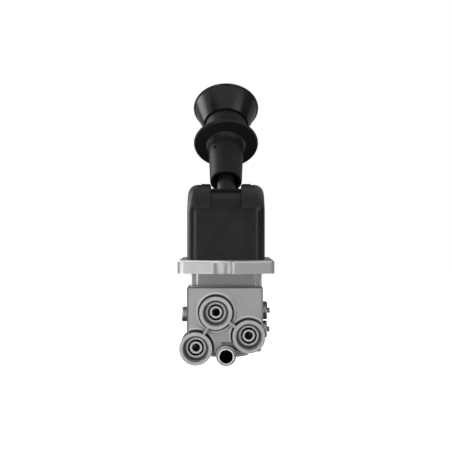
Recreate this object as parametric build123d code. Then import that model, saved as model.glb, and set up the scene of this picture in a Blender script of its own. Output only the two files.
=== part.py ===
from build123d import *
import math
import os

os.makedirs("parts", exist_ok=True)

# Frame: origin in the middle of the plate's underside, below the lever's pivot.
# +Z is up out of the panel, -Y is the side with the air ports. Millimetres.

# Mounting plate
PLATE_W = 73.0
PLATE_FRONT = -34.5
PLATE_BACK = 41.0
PLATE_POINT = 10.5
PLATE_T = 10.2
PLATE_CORNER_R = 3.9
PLATE_EDGE_R = 2.2
NOTCH_LEFT = -9.5
NOTCH_RIGHT = 5.5
NOTCH_DEPTH = 4.2
NOTCH_R = 3.5
NOTCH_CORNER_R = 2.4
LUG_X = -1.9
LUG_SINK = 2.8
VALLEY_X = 4.0
PANEL_BOLT_X = 60.0
PANEL_BOLT_Y = 60.0
PANEL_BOLT_R = 2.5
PANEL_BOLT_DEPTH = 7.8

# Lever pivot and swing
PIVOT_Z = 33.0
LEVER_LEAN_ANGLE = 42.0
LEVER_SWING_ANGLE = 84.0
PIVOT_PIN_R = 4.0
HUB_R = 7.4
HUB_W = 16.6
RUN_FIT = 0.03
PRESS_GAP = 0.02
CLEAR = 0.3
SLOT_PLAY = 0.22
PIN_CHAMFER = 0.4
PIN_END = 2.4
CLIP_GAP = 0.1
CLIP_GROOVE_W = 1.0
CLIP_GROOVE_DEPTH = 0.8
CLIP_PLAY = 0.05
CLIP_RING = 2.2
CLIP_MOUTH = 5.2

# Hood
HOOD_W = 58.8
HOOD_D = 70.0
HOOD_TOP = 68.0
HOOD_SHOULDER = 49.0
HOOD_SHOULDER_R = 10.0
HOOD_EDGE_R = 7.3
HOOD_WALL = 2.5
SLOT_W = 23.6
LIP_W = 6.5
LIP_H = 0.7
LIP_GAP = 0.8
LIP_INSET = 1.0
HOOD_BOSS_R = 4.0
HOOD_BOSS_H = 20.0
HOOD_BOSS_FLOOR = 5.0
HOOD_SCREW_X = HOOD_W / 2 - 8.4
HOOD_SCREW_Y = HOOD_D / 2 - 5.5

# Covers that close the hood's slot
COVER_W = 28.0
COVER_T = 1.2
COVER_PLAY = 0.5
COVER_OUT_R = min(HOOD_TOP - PIVOT_Z, HOOD_D / 2) - HOOD_WALL - COVER_PLAY
OUTER_COVER_ANGLE = 58.0
INNER_COVER_ANGLE = 88.0
INNER_COVER_GAP_ANGLE = 36.0
WINDOW_PLAY = 1.0

# Lever shaft, lock rod and gate
SHAFT_R = 7.4
SHAFT_BORE_R = 3.0
SHAFT_TOP = 138.0
ROD_R = 2.5
ROD_START = 15.5
ROD_END = 86.0
BAR_AT = 19.5
BAR_R = 2.0
BAR_L = 23.0
GATE_T = 2.0
GATE_NOTCH_DEPTH = 4.0
GATE_HOLE_PLAY = 1.0
FOOT_MARGIN = 0.4
LIFT = 7.0

# Locking collar, as distances along the lever from the pivot
COLLAR_FOOT_AT = 52.0
COLLAR_FOOT_R = 13.1
COLLAR_WAIST_AT = 90.0
COLLAR_WAIST_R = 14.6
DISC_AT = 98.0
DISC_R = 27.3
DISC_T = 3.6
DISC_HUB_R = 16.8
NECK_R = 17.75
NECK_END = 121.0
NECK_WALL = 2.6
FOOT_BORE_R = 10.8
GUIDE_START = 76.0
GUIDE_END = 97.0
COLLAR_PIN_AT = 82.0
COLLAR_PIN_R = 1.5
COLLAR_PIN_SINK = 1.4
COLLAR_ROUND = 1.2
COLLAR_PIN_ANGLE = 41.0

# Knob
KNOB_RIM_AT = 142.7
KNOB_RIM_R = 28.4
KNOB_RIM_T = 2.4
KNOB_SKIRT_WALL = 1.3
KNOB_SEAT = 129.5
KNOB_DOME_H = 8.0
KNOB_PLAY = 0.35
SKIRT_BULGE = 0.3

# Cam and tappet
CAM_LOW = 8.0
CAM_RISE = 5.4
CAM_W = 12.0
CAM_SPARE_ANGLE = 8.0
TAPPET_HEAD_R = 8.0
TAPPET_HEAD_T = 3.0
TAPPET_HEAD_ROUND = 0.6
TAPPET_R = 4.0
BUSH_WALL = 2.0
SPRING_SEAT_R = 12.0
SPRING_SEAT_T = 2.0
SPRING_SEAT_GAP = 2.0
SPRING_PILOT_H = 1.5

# Cast valve body below the panel
BODY_LEFT = -29.3
BODY_RIGHT = 27.8
BODY_FRONT = -36.0
BODY_BACK = 26.0
BODY_TOP = -11.0
BODY_BOTTOM = -60.0
BODY_EDGE_R = 1.6
BODY_LOWER_R = 0.8
BODY_CUT_X = 17.5
BODY_CUT_Z = -52.0
NECK_LEFT = -27.7
NECK_RIGHT = 28.0
NECK_FRONT = -8.0
NECK_STEP = 2.2
NECK_STEP_R = 1.05
NECK_FOOT_R = 1.0
NECK_STEP_LEFT = -22.6
NECK_STEP_RIGHT = 22.0
GASKET_T = 0.8
BORE_R = 13.5
BORE_TOP = -13.0
VALVE_BOSS_WALL = 4.0
VALVE_BOSS_END = -65.0
GASKET_INSET = 0.5

# Graduating piston, valve seat, inlet valve and end cap
PISTON_TOP = -31.0
PISTON_T = 9.0
PISTON_TRAVEL = 2.5
PISTON_STEM_R = 4.5
PISTON_CHAMFER = 0.5
RING_GROOVE = 2.2
RING_T = 2.8
SEAT_TOP = -44.0
SEAT_T = 3.0
SEAT_BORE_R = 6.0
SEAT_CHAMFER = 0.4
VALVE_R = 8.0
VALVE_T = 3.0
VALVE_TRAVEL = 1.2
VALVE_STEM_R = 4.0
VALVE_STEM_L = 7.5
VALVE_STEM_ROOM = 0.8
VALVE_BORE_R = 1.6
CAP_TOP = -55.5
CAP_BOTTOM = -62.8
CAP_SEAL_T = 1.8
CAP_SEAL_SINK = 1.5
CIRCLIP_T = 1.2
CIRCLIP_SINK = 1.0
CIRCLIP_RING = 2.2
CIRCLIP_MOUTH = 5.0

# Push-in air ports, for a tube of 12 mm outside and 10 mm inside
PORT_FRONT = -45.0
PORTS = {"top": (-7.6, -29.0), "left": (-22.5, -55.5), "right": (17.0, -46.5)}
BOSS_R = 12.2
BOSS_FOOT_R = 2.2
BOSS_REACH = 4.0
MOUTH_R = 9.75
MOUTH_DEPTH = 5.0
SOCKET_R = 9.2
SOCKET_DEPTH = 21.0
TUBE_R = 6.0
TUBE_BORE_R = 5.0
TUBE_GAP = 0.14
COLLET_WALL = 1.45
COLLET_FACE = 10.0
COLLET_L = 8.0
COLLET_TRAVEL = 1.2
COLLET_RING_L = 3.0
COLLET_SLIT = 0.8
CARTRIDGE_FACE = 11.3
SLEEVE_BORE_R = 2.8
SLEEVE_CHAMFER = 0.3
TUBE_STOP = 27.0
SLEEVE_FLANGE_T = 1.2
PASSAGE_R = 2.2
PASSAGE_ENDS = {"top": (-2.0, -10.5, -42.2), "left": (-6.0, -8.0, -51.5), "right": (6.0, -9.0, -42.2)}
RIB_T = 2.2
RIB_SINK = 0.8

# Exhaust
EXHAUST_X = 0.1
EXHAUST_Z = -60.7
EXHAUST_FRONT = -49.0
EXHAUST_R = 6.03
EXHAUST_BORE_R = 4.88
EXHAUST_SHANK_R = 5.75
EXHAUST_CHAMFER = 0.3
EXHAUST_SEAT = -30.0
EXHAUST_BOSS_R = 7.5
EXHAUST_BOSS_FRONT = -43.4
EXHAUST_WELL_END = -18.0
EXHAUST_PASSAGE_R = 1.9
POCKET_DEPTH = 3.0
POCKET_LEFT = -4.1
POCKET_SLANT = 1.7
POCKET_RIGHT = 7.6
POCKET_TOP = -51.2
POCKET_H = 5.5

# Plugs of the cross drillings: height, head radius, how far they stand out, nib
PLUG_Y = -6.0
PLUG_THREAD_R = 4.0
PLUG_THREAD_L = 8.0
PLUG_NIB_R = 2.0
PLUG_NIB_L = 2.0
PLUG_CHAMFER = 0.8
PLUG_SOCKET_DEPTH = 1.5
LEFT_PLUG = (-32.8, 5.7, 5.0)
UPPER_PLUG = (-29.9, 7.0, 4.2)
LOWER_PLUG = (-44.5, 6.6, 4.0)

# Screws
M4_R = 2.0
M4_HEAD_R = 3.4
M4_HEAD_H = 3.6
HOLE_PLAY = 0.25
HEAD_ROOM = 1.5
BODY_SCREW_X = HOOD_W / 2 - HOOD_WALL - M4_HEAD_R - HEAD_ROOM
BODY_SCREW_BACK = HOOD_SCREW_Y - HOOD_BOSS_R - M4_HEAD_R - HEAD_ROOM
BODY_SCREW_PITCH = 16.0
BODY_SCREW_L = 22.0
BRACKET_SCREW_X = 14.4
BRACKET_SCREW_Y = 11.0
BRACKET_SCREW_L = 9.0
HOOD_SCREW_L = PLATE_T + 6.0
SOCKET_SHARE = 0.5
SOCKET_DEPTH_SHARE = 0.55
HEAD_CHAMFER_SHARE = 0.1

# Springs: wire radius, coil radius, turns
COLLAR_SPRING = (0.8, 9.4, 6)
GRADUATING_SPRING = (0.9, 9.6, 4)
VALVE_SPRING = (0.45, 5.6, 3)

# How far a cut runs past the face that it opens, or a joined piece into its neighbour
OVER = 1.0


def rod(radius, low, high):
    """A round bar along Z."""
    return Pos(0, 0, low) * Cylinder(radius, high - low, align=(Align.CENTER, Align.CENTER, Align.MIN))


def pipe(outer, inner, low, high):
    """A round bar along Z with a bore through it."""
    return rod(outer, low, high) - rod(inner, low - OVER, high + OVER)


def block(x0, x1, y0, y1, z0, z1):
    """A box between two corners."""
    return Pos(x0, y0, z0) * Box(x1 - x0, y1 - y0, z1 - z0, align=(Align.MIN, Align.MIN, Align.MIN))


def turned(*points):
    """A profile of radius and height pairs, turned about Z."""
    outline = Polyline(*[(r, 0, h) for r, h in points], close=True)
    return revolve(make_face(outline), Axis.Z)


def on_lever(shape):
    """Puts a shape made along Z on the lever's line through the pivot."""
    return Location((0, 0, PIVOT_Z), (-LEVER_LEAN_ANGLE, 0, 0)) * shape


def into_body(x, z, shape, start=PORT_FRONT):
    """Puts a shape made along Z on a line that runs back from the front."""
    return Plane(origin=(x, start, z), x_dir=(1, 0, 0), z_dir=(0, 1, 0)).location * shape


def across(shape):
    """Lays a shape made along Z along X."""
    return Rot(0, 90, 0) * shape


def drilled(start, end, radius):
    """A drilling between two points."""
    run = Vector(*end) - Vector(*start)
    line = Plane(origin=start, z_dir=run)
    return line.location * rod(radius, 0, run.length)


def coil(spring, low, high):
    """A coil spring along Z that fills the height between its two seats."""
    wire, radius, turns = spring
    rise = high - low - 2 * wire
    path = Helix(pitch=rise / turns, height=rise, radius=radius)
    section = Plane(origin=path @ 0, z_dir=path % 0) * Circle(wire)
    return Pos(0, 0, low + wire) * sweep(section, path, is_frenet=True)


def cap_screw(length, radius=M4_R, head_r=M4_HEAD_R, head_h=M4_HEAD_H):
    """A socket head screw that points down, its head's seat at height 0."""
    depth = head_h * SOCKET_DEPTH_SHARE
    socket = extrude(RegularPolygon(head_r * SOCKET_SHARE, 6), depth)
    head = chamfer(rod(head_r, 0, head_h).edges().group_by(Axis.Z)[-1], head_h * HEAD_CHAMFER_SHARE)
    return head + rod(radius, -length, 0) - Pos(0, 0, head_h - depth) * socket


def corners(dx, dy):
    """The four corner positions of a rectangle of holes."""
    return [(sx * dx, sy * dy) for sx in (-1, 1) for sy in (-1, 1)]


def plate_outline():
    """The plate seen from above: a pointed front edge with a shallow notch and a low lug in it."""
    half = PLATE_W / 2
    tip = PLATE_FRONT - PLATE_POINT
    slope = PLATE_POINT / half
    floor = tip + NOTCH_DEPTH
    shape = Polygon((-half, PLATE_BACK), (-half, PLATE_FRONT), (NOTCH_LEFT, tip - NOTCH_LEFT * slope),
                    (LUG_X - VALLEY_X, floor), (LUG_X, tip + LUG_SINK), (LUG_X + VALLEY_X, floor),
                    (NOTCH_RIGHT, tip + NOTCH_RIGHT * slope), (half, PLATE_FRONT), (half, PLATE_BACK),
                    align=None)
    corner = [v for v in shape.vertices() if abs(v.X) > half - OVER]
    shape = fillet(corner, PLATE_CORNER_R)
    notch = [v for v in shape.vertices() if NOTCH_LEFT + OVER < v.X < NOTCH_RIGHT + OVER]
    shape = fillet(notch, NOTCH_R)
    return fillet([v for v in shape.vertices() if abs(v.X - NOTCH_LEFT) < OVER / 10], NOTCH_CORNER_R)


def mounting_plate():
    """Flat cast plate between the hood and the valve body."""
    plate = extrude(plate_outline(), PLATE_T)
    plate = fillet(plate.edges().group_by(Axis.Z)[-1], PLATE_EDGE_R)
    for x, y in corners(PANEL_BOLT_X / 2, PANEL_BOLT_Y / 2):
        plate -= Pos(x, y, 0) * rod(PANEL_BOLT_R, -OVER, PANEL_BOLT_DEPTH)
    for x, y in corners(HOOD_SCREW_X, HOOD_SCREW_Y):
        plate -= Pos(x, y, 0) * rod(M4_R + HOLE_PLAY, -OVER, PLATE_T + OVER)
        plate -= Pos(x, y, 0) * rod(M4_HEAD_R + HOLE_PLAY, -OVER, M4_HEAD_H + HOLE_PLAY)
    for x, y in body_screw_places():
        plate -= Pos(x, y, 0) * rod(M4_R + HOLE_PLAY, -OVER, PLATE_T + OVER)
    for x, y in corners(BRACKET_SCREW_X, BRACKET_SCREW_Y):
        depth = BRACKET_SCREW_L - GATE_T + OVER
        plate -= Pos(x, y, 0) * rod(M4_R + PRESS_GAP, PLATE_T - depth, PLATE_T + OVER)
    return plate - rod(TAPPET_R + BUSH_WALL + PRESS_GAP, -OVER, PLATE_T + OVER)


def body_screw_places():
    """The four screws that hold the valve body up against the plate."""
    rows = (BODY_SCREW_BACK - BODY_SCREW_PITCH, BODY_SCREW_BACK)
    return [(side * BODY_SCREW_X, y) for side in (-1, 1) for y in rows]


def hood_profile(inset):
    """The hood seen from the side, an inset inside its outer surface."""
    half = HOOD_D / 2 - inset
    shoulder = HOOD_SHOULDER
    crown = HOOD_TOP - inset
    base = PLATE_T
    outline = Polyline((0, -half, shoulder), (0, -half, base), (0, half, base), (0, half, shoulder))
    arch = ThreePointArc((0, half, shoulder), (0, 0, crown), (0, -half, shoulder))
    side = make_face(Curve() + [outline, arch])
    return fillet([v for v in side.vertices() if v.Z > base + OVER], HOOD_SHOULDER_R - inset)


def side_edges(shape, half):
    """The edges round both side walls of a hood shape, without those on the plate."""
    edges = [e for e in shape.edges() if abs(abs(e.center().X) - half) < CLEAR]
    return [e for e in edges if e.center().Z > PLATE_T + CLEAR]


def hood():
    """Moulded hood: a box with an arched crown, a lever slot and two lips."""
    half = HOOD_W / 2
    shell = extrude(hood_profile(0), half, dir=(1, 0, 0), both=True)
    shell = fillet(side_edges(shell, half), HOOD_EDGE_R)
    inner_half = half - HOOD_WALL
    hollow = extrude(hood_profile(HOOD_WALL), inner_half, dir=(1, 0, 0), both=True)
    shell -= fillet(side_edges(hollow, inner_half), HOOD_EDGE_R - HOOD_WALL)
    shell += hood_lips()
    slot = block(-SLOT_W / 2, SLOT_W / 2, -HOOD_D, HOOD_D, HOOD_SHOULDER, HOOD_TOP + LIP_H + OVER)
    shell -= slot
    for x, y in corners(HOOD_SCREW_X, HOOD_SCREW_Y):
        boss = rod(HOOD_BOSS_R, PLATE_T, PLATE_T + HOOD_BOSS_H)
        hole = rod(M4_R + PRESS_GAP, PLATE_T - OVER, PLATE_T + HOOD_BOSS_H - HOOD_BOSS_FLOOR)
        shell += Pos(x, y, 0) * boss
        shell -= Pos(x, y, 0) * hole
    return shell


def hood_lips():
    """Two low raised bands on the crown, one on each side of the slot."""
    end = HOOD_D / 2 - LIP_INSET
    raised = HOOD_TOP + LIP_H
    side = HOOD_SHOULDER + LIP_INSET
    low = HOOD_WALL / 2
    crown = ThreePointArc((0, end, side), (0, 0, raised), (0, -end, side))
    under = ThreePointArc((0, -end, side - low), (0, 0, HOOD_TOP - low), (0, end, side - low))
    ends = [Line(crown @ 1, under @ 0), Line(under @ 1, crown @ 0)]
    band = extrude(make_face(Curve() + [crown, under] + ends), LIP_W, dir=(1, 0, 0))
    start = SLOT_W / 2 + LIP_GAP
    return Pos(start, 0, 0) * band + Pos(-start - LIP_W, 0, 0) * band


def arc_cover(outer_r, span):
    """A curved strip about the pivot that reaches span degrees each way."""
    ring = across(pipe(outer_r, outer_r - COVER_T, -COVER_W / 2, COVER_W / 2))
    reach = 3 * outer_r
    low = math.radians(span)
    wedge = Polyline((0, 0, 0), (0, -reach * math.sin(low), reach * math.cos(low)),
                     (0, -reach, reach), (0, reach, reach),
                     (0, reach * math.sin(low), reach * math.cos(low)), close=True)
    keep = extrude(make_face(wedge), COVER_W, dir=(1, 0, 0), both=True)
    return ring & keep


def slot_cover():
    """The outer cover, which turns with the lever under the hood's slot."""
    strip = arc_cover(COVER_OUT_R, OUTER_COVER_ANGLE)
    strip -= rod(SHAFT_R + PRESS_GAP, 0, COVER_OUT_R * 2)
    return on_lever(strip)


def inner_slot_cover():
    """The inner cover, which follows the outer one at half its angle."""
    outer_r = COVER_OUT_R - COVER_T - CLEAR
    strip = arc_cover(outer_r, INNER_COVER_ANGLE)
    gap = math.radians(INNER_COVER_GAP_ANGLE)
    reach = outer_r - COVER_T / 2
    side = reach * math.sin(gap)
    half = SHAFT_R + WINDOW_PLAY
    window = block(-half, half, -side, side, 0, outer_r * 2)
    strip -= window
    return Location((0, 0, PIVOT_Z), (-LEVER_LEAN_ANGLE / 2, 0, 0)) * strip


def cam():
    """Lobe whose flat follower moves in step with the lever's angle."""
    def edge_point(turn):
        reach = CAM_LOW + CAM_RISE * turn
        y = -reach * math.sin(turn) - CAM_RISE * math.cos(turn)
        z = -reach * math.cos(turn) + CAM_RISE * math.sin(turn)
        return (0, y, z)
    first = math.radians(-CAM_SPARE_ANGLE)
    last = math.radians(LEVER_SWING_ANGLE + CAM_SPARE_ANGLE)
    steps = 8
    edge = Spline(*[edge_point(first + (last - first) * i / steps) for i in range(steps + 1)])
    sides = [Line((0, 0, 0), edge @ 0), Line(edge @ 1, (0, 0, 0))]
    lobe = extrude(make_face(Curve() + [edge] + sides), CAM_W / 2, dir=(1, 0, 0), both=True)
    return Pos(0, 0, PIVOT_Z) * lobe


def lever_shaft():
    """Hollow steel shaft with its hub and cam in one forging."""
    shaft = rod(SHAFT_R, 0, SHAFT_TOP)
    shaft += across(rod(HUB_R, -HUB_W / 2, HUB_W / 2))
    shaft -= rod(SHAFT_BORE_R, ROD_START - OVER, SHAFT_TOP + OVER)
    bar_half = BAR_R + SLOT_PLAY
    shaft -= block(-SHAFT_R - OVER, SHAFT_R + OVER, -bar_half, bar_half, BAR_AT - BAR_R - CLEAR,
                   BAR_AT + BAR_R + LIFT + CLEAR)
    pin_half = COLLAR_PIN_R + SLOT_PLAY
    pin_slot = block(-pin_half, pin_half, -SHAFT_R - OVER, SHAFT_R + OVER,
                     COLLAR_PIN_AT - COLLAR_PIN_R - CLEAR, COLLAR_PIN_AT + COLLAR_PIN_R + LIFT + CLEAR)
    shaft -= Rot(0, 0, -COLLAR_PIN_ANGLE) * pin_slot
    shaft = on_lever(shaft) + cam()
    return shaft - Pos(0, 0, PIVOT_Z) * across(rod(PIVOT_PIN_R + RUN_FIT, -HUB_W, HUB_W))


def locking_collar():
    """Sliding collar: a tapered foot, a thin disc and a neck that runs into the knob."""
    rim = DISC_R - DISC_T / 2
    low = DISC_AT - DISC_T / 2
    high = DISC_AT + DISC_T / 2
    rise = COLLAR_ROUND
    corner = (COLLAR_FOOT_R, 0, COLLAR_FOOT_AT + rise)
    waist = (COLLAR_WAIST_R, 0, COLLAR_WAIST_AT)
    outline = Line((FOOT_BORE_R, 0, COLLAR_FOOT_AT), (COLLAR_FOOT_R - rise, 0, COLLAR_FOOT_AT))
    foot = TangentArc((COLLAR_FOOT_R - rise, 0, COLLAR_FOOT_AT), corner, tangent=(1, 0, 0))
    sleeve = Line(corner, waist)
    flare = TangentArc(waist, (DISC_HUB_R, 0, low - rise), tangent=sleeve % 1)
    under = Line((DISC_HUB_R, 0, low - rise), (rim, 0, low))
    edge = ThreePointArc((rim, 0, low), (DISC_R, 0, DISC_AT), (rim, 0, high))
    bore = NECK_R - NECK_WALL
    guide = SHAFT_R + RUN_FIT
    rest = Polyline((rim, 0, high), (NECK_R, 0, high + rise), (NECK_R, 0, NECK_END), (bore, 0, NECK_END),
                    (bore, 0, GUIDE_END), (guide, 0, GUIDE_END), (guide, 0, GUIDE_START),
                    (FOOT_BORE_R, 0, GUIDE_START), (FOOT_BORE_R, 0, COLLAR_FOOT_AT))
    body = revolve(make_face(Curve() + [outline, foot, sleeve, flare, under, edge, rest]), Axis.Z)
    hole = across(rod(COLLAR_PIN_R + PRESS_GAP, -DISC_R, DISC_R))
    body -= Pos(0, 0, COLLAR_PIN_AT) * Rot(0, 0, 90 - COLLAR_PIN_ANGLE) * hole
    return on_lever(body)


def collar_pin():
    """Cross pin that ties the collar to the lock rod."""
    share = (COLLAR_PIN_AT - COLLAR_FOOT_AT) / (COLLAR_WAIST_AT - COLLAR_FOOT_AT)
    skin = COLLAR_FOOT_R + (COLLAR_WAIST_R - COLLAR_FOOT_R) * share
    half = skin - COLLAR_PIN_SINK
    pin = chamfer(rod(COLLAR_PIN_R, -half, half).edges(), PIN_CHAMFER)
    return on_lever(Pos(0, 0, COLLAR_PIN_AT) * Rot(0, 0, 90 - COLLAR_PIN_ANGLE) * across(pin))


def lock_rod():
    """Rod inside the shaft that carries the collar's lift down to the lock bar."""
    bar = rod(ROD_R, ROD_START, ROD_END)
    bar -= Pos(0, 0, BAR_AT) * across(rod(BAR_R + PRESS_GAP, -ROD_R * 2, ROD_R * 2))
    hole = across(rod(COLLAR_PIN_R + PRESS_GAP, -ROD_R * 2, ROD_R * 2))
    bar -= Pos(0, 0, COLLAR_PIN_AT) * Rot(0, 0, 90 - COLLAR_PIN_ANGLE) * hole
    return on_lever(bar)


def lock_bar():
    """Cross bar that drops into the gate's notch when the brake is parked."""
    bar = chamfer(rod(BAR_R, -BAR_L / 2, BAR_L / 2).edges(), PIN_CHAMFER)
    return on_lever(Pos(0, 0, BAR_AT) * across(bar))


def knob():
    """Mushroom knob: a conical skirt, a thin rim and a low dome."""
    lip = NECK_END + CLEAR
    inner = NECK_R + KNOB_PLAY
    outer = inner + KNOB_SKIRT_WALL
    under = KNOB_RIM_AT - KNOB_RIM_T / 2
    over = KNOB_RIM_AT + KNOB_RIM_T / 2
    rim = KNOB_RIM_R - KNOB_RIM_T / 2
    middle = (outer + rim) / 2 + SKIRT_BULGE
    start = Line((inner, 0, lip), (outer, 0, lip))
    skirt = ThreePointArc((outer, 0, lip), (middle, 0, (lip + under) / 2), (rim, 0, under))
    edge = ThreePointArc((rim, 0, under), (KNOB_RIM_R, 0, KNOB_RIM_AT), (rim, 0, over))
    top = over + KNOB_DOME_H
    ball = (rim ** 2 + KNOB_DOME_H ** 2) / (2 * KNOB_DOME_H)
    half_way = top - ball + math.sqrt(ball ** 2 - (rim / 2) ** 2)
    dome = ThreePointArc((rim, 0, over), (rim / 2, 0, half_way), (0, 0, top))
    core = SHAFT_R + PRESS_GAP
    rest = Polyline((0, 0, top), (0, 0, SHAFT_TOP + PRESS_GAP), (core, 0, SHAFT_TOP + PRESS_GAP),
                    (core, 0, KNOB_SEAT), (inner, 0, KNOB_SEAT), (inner, 0, lip))
    return on_lever(revolve(make_face(Curve() + [start, skirt, edge, dome, rest]), Axis.Z))


def collar_spring():
    """Spring round the shaft, between the collar's floor and the knob."""
    return on_lever(coil(COLLAR_SPRING, GUIDE_END, KNOB_SEAT))


def gate_bracket():
    """Folded steel bracket: two cheeks hold the pivot pin, and their tops are the lock gate."""
    cheek_in = HUB_W / 2 + CLEAR
    cheek_out = cheek_in + GATE_T
    gate_r = BAR_AT - BAR_R - CLEAR
    foot_out = BRACKET_SCREW_X + M4_HEAD_R + FOOT_MARGIN
    foot_top = PLATE_T + GATE_T
    cheeks = block(-cheek_out, cheek_out, -gate_r, gate_r, PLATE_T, PIVOT_Z)
    cheeks += Pos(0, 0, PIVOT_Z) * across(rod(gate_r, -cheek_out, cheek_out))
    cheeks &= block(-cheek_out, cheek_out, -gate_r, gate_r, PLATE_T, PIVOT_Z + gate_r)
    cheeks -= block(-cheek_in, cheek_in, -gate_r - OVER, gate_r + OVER, foot_top, PIVOT_Z + gate_r + OVER)
    notch_half = BAR_R + CLEAR
    notch = block(-foot_out, foot_out, -notch_half, notch_half, gate_r - GATE_NOTCH_DEPTH, gate_r + OVER)
    cheeks -= Location((0, 0, PIVOT_Z), (LEVER_SWING_ANGLE - LEVER_LEAN_ANGLE, 0, 0)) * notch
    feet = block(-foot_out, foot_out, -gate_r, gate_r, PLATE_T, foot_top)
    bracket = cheeks + feet - rod(TAPPET_HEAD_R + GATE_HOLE_PLAY, PLATE_T - OVER, foot_top + OVER)
    bracket -= Pos(0, 0, PIVOT_Z) * across(rod(PIVOT_PIN_R + PRESS_GAP, -foot_out, foot_out))
    for x, y in corners(BRACKET_SCREW_X, BRACKET_SCREW_Y):
        bracket -= Pos(x, y, 0) * rod(M4_R + HOLE_PLAY, PLATE_T - OVER, foot_top + OVER)
    return bracket


def clip_start():
    """Distance from the middle to the near side of each clip's groove."""
    return HUB_W / 2 + CLEAR + GATE_T + CLIP_GAP


def pivot_pin():
    """Steel pin through both cheeks, grooved for its two clips."""
    half = HUB_W / 2 + CLEAR + GATE_T + PIN_END
    pin = chamfer(rod(PIVOT_PIN_R, -half, half).edges(), PIN_CHAMFER)
    groove = pipe(PIVOT_PIN_R + OVER, PIVOT_PIN_R - CLIP_GROOVE_DEPTH, 0, CLIP_GROOVE_W)
    pin -= Pos(0, 0, clip_start()) * groove
    pin -= Pos(0, 0, -clip_start() - CLIP_GROOVE_W) * groove
    return Pos(0, 0, PIVOT_Z) * across(pin)


def pivot_clips():
    """The two clips that keep the pin in the bracket."""
    inner = PIVOT_PIN_R - CLIP_GROOVE_DEPTH + PRESS_GAP
    clip = pipe(PIVOT_PIN_R + CLIP_RING, inner, CLIP_PLAY, CLIP_GROOVE_W - CLIP_PLAY)
    clip -= block(-CLIP_MOUTH / 2, CLIP_MOUTH / 2, -PIVOT_PIN_R * 2, 0, -OVER, CLIP_GROOVE_W + OVER)
    pair = Pos(0, 0, clip_start()) * clip + Pos(0, 0, -clip_start() - CLIP_GROOVE_W) * clip
    return Pos(0, 0, PIVOT_Z) * across(pair)


def screws(places, length, seat, pointing_up=False):
    """A group of equal screws whose heads sit at one height."""
    turn = Rot(180, 0, 0) if pointing_up else Rot(0, 0, 0)
    return Compound(children=[Pos(x, y, seat) * turn * cap_screw(length) for x, y in places])


def tappet_rest_top():
    """Height of the tappet's head when the lever is at rest."""
    return PIVOT_Z - CAM_LOW - CLEAR


def stem_end():
    """Height of the tappet's lower end at rest."""
    return BORE_TOP - SPRING_SEAT_GAP


def tappet():
    """Push rod with a flat head that the cam presses down."""
    top = tappet_rest_top()
    head = fillet(rod(TAPPET_HEAD_R, top - TAPPET_HEAD_T, top).edges(), TAPPET_HEAD_ROUND)
    return head + rod(TAPPET_R, stem_end(), top - OVER)


def spring_seat():
    """Cup under the tappet that holds the graduating spring in line."""
    top = stem_end()
    spring_in = GRADUATING_SPRING[1] - GRADUATING_SPRING[0] - CLEAR
    cup = rod(SPRING_SEAT_R, top - SPRING_SEAT_T, top)
    return cup + rod(spring_in, top - SPRING_SEAT_T - SPRING_PILOT_H, top)


def tappet_bush():
    """Plain bush pressed into the plate."""
    return pipe(TAPPET_R + BUSH_WALL, TAPPET_R + RUN_FIT, 0, PLATE_T)


def graduating_spring():
    """Spring between the tappet's cup and the piston."""
    return coil(GRADUATING_SPRING, PISTON_TOP, stem_end() - SPRING_SEAT_T)


def piston_stem_end():
    """Lower end of the piston's stem at rest, clear of the valve when both are down."""
    return SEAT_TOP - SEAT_T - VALVE_TRAVEL + CLEAR + PISTON_TRAVEL


def ring_centre():
    """Height of the piston ring's middle."""
    return PISTON_TOP - PISTON_T / 2


def graduating_piston():
    """Piston whose stem opens the inlet valve."""
    outer = BORE_R - RUN_FIT
    piston = rod(outer, PISTON_TOP - PISTON_T, PISTON_TOP)
    piston = chamfer(piston.edges(), PISTON_CHAMFER)
    middle = ring_centre()
    piston -= pipe(BORE_R + OVER, outer - RING_GROOVE, middle - RING_T / 2, middle + RING_T / 2)
    piston += rod(PISTON_STEM_R, piston_stem_end(), PISTON_TOP - PISTON_T)
    return piston


def piston_ring():
    """Rubber ring in the piston's groove."""
    middle = ring_centre()
    inner = BORE_R - RUN_FIT - RING_GROOVE
    return pipe(BORE_R - RUN_FIT, inner + PRESS_GAP, middle - RING_T / 2, middle + RING_T / 2)


def valve_seat():
    """Ring pressed into the bore, with the inlet seat on its underside."""
    low = SEAT_TOP - SEAT_T
    ring = pipe(BORE_R - PRESS_GAP, SEAT_BORE_R, low, SEAT_TOP)
    return chamfer(ring.edges().group_by(Axis.Z)[-1], SEAT_CHAMFER)


def inlet_valve():
    """Disc valve on a hollow stem, through which the air is let out."""
    top = SEAT_TOP - SEAT_T
    valve = rod(VALVE_R, top - VALVE_T, top) + rod(VALVE_STEM_R, top - VALVE_T - VALVE_STEM_L, top)
    return valve - rod(VALVE_BORE_R, top - VALVE_T - VALVE_STEM_L - OVER, top + OVER)


def valve_spring():
    """Spring that holds the inlet valve on its seat."""
    return coil(VALVE_SPRING, CAP_TOP, SEAT_TOP - SEAT_T - VALVE_T)


def bottom_cap():
    """Plug that closes the bore and guides the valve's stem."""
    cap = rod(BORE_R - PRESS_GAP, CAP_BOTTOM, CAP_TOP)
    middle = CAP_TOP - CAP_SEAL_T
    cap -= pipe(BORE_R + OVER, BORE_R - CAP_SEAL_SINK, middle - CAP_SEAL_T / 2, middle + CAP_SEAL_T / 2)
    guide_end = SEAT_TOP - SEAT_T - VALVE_T - VALVE_STEM_L - VALVE_TRAVEL - VALVE_STEM_ROOM
    cap -= rod(VALVE_STEM_R + RUN_FIT, guide_end, CAP_TOP + OVER)
    cap -= rod(VALVE_BORE_R, EXHAUST_Z, CAP_TOP)
    return cap - drilled((0, 0, EXHAUST_Z), (0, -BORE_R - OVER, EXHAUST_Z), VALVE_BORE_R)


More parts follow.
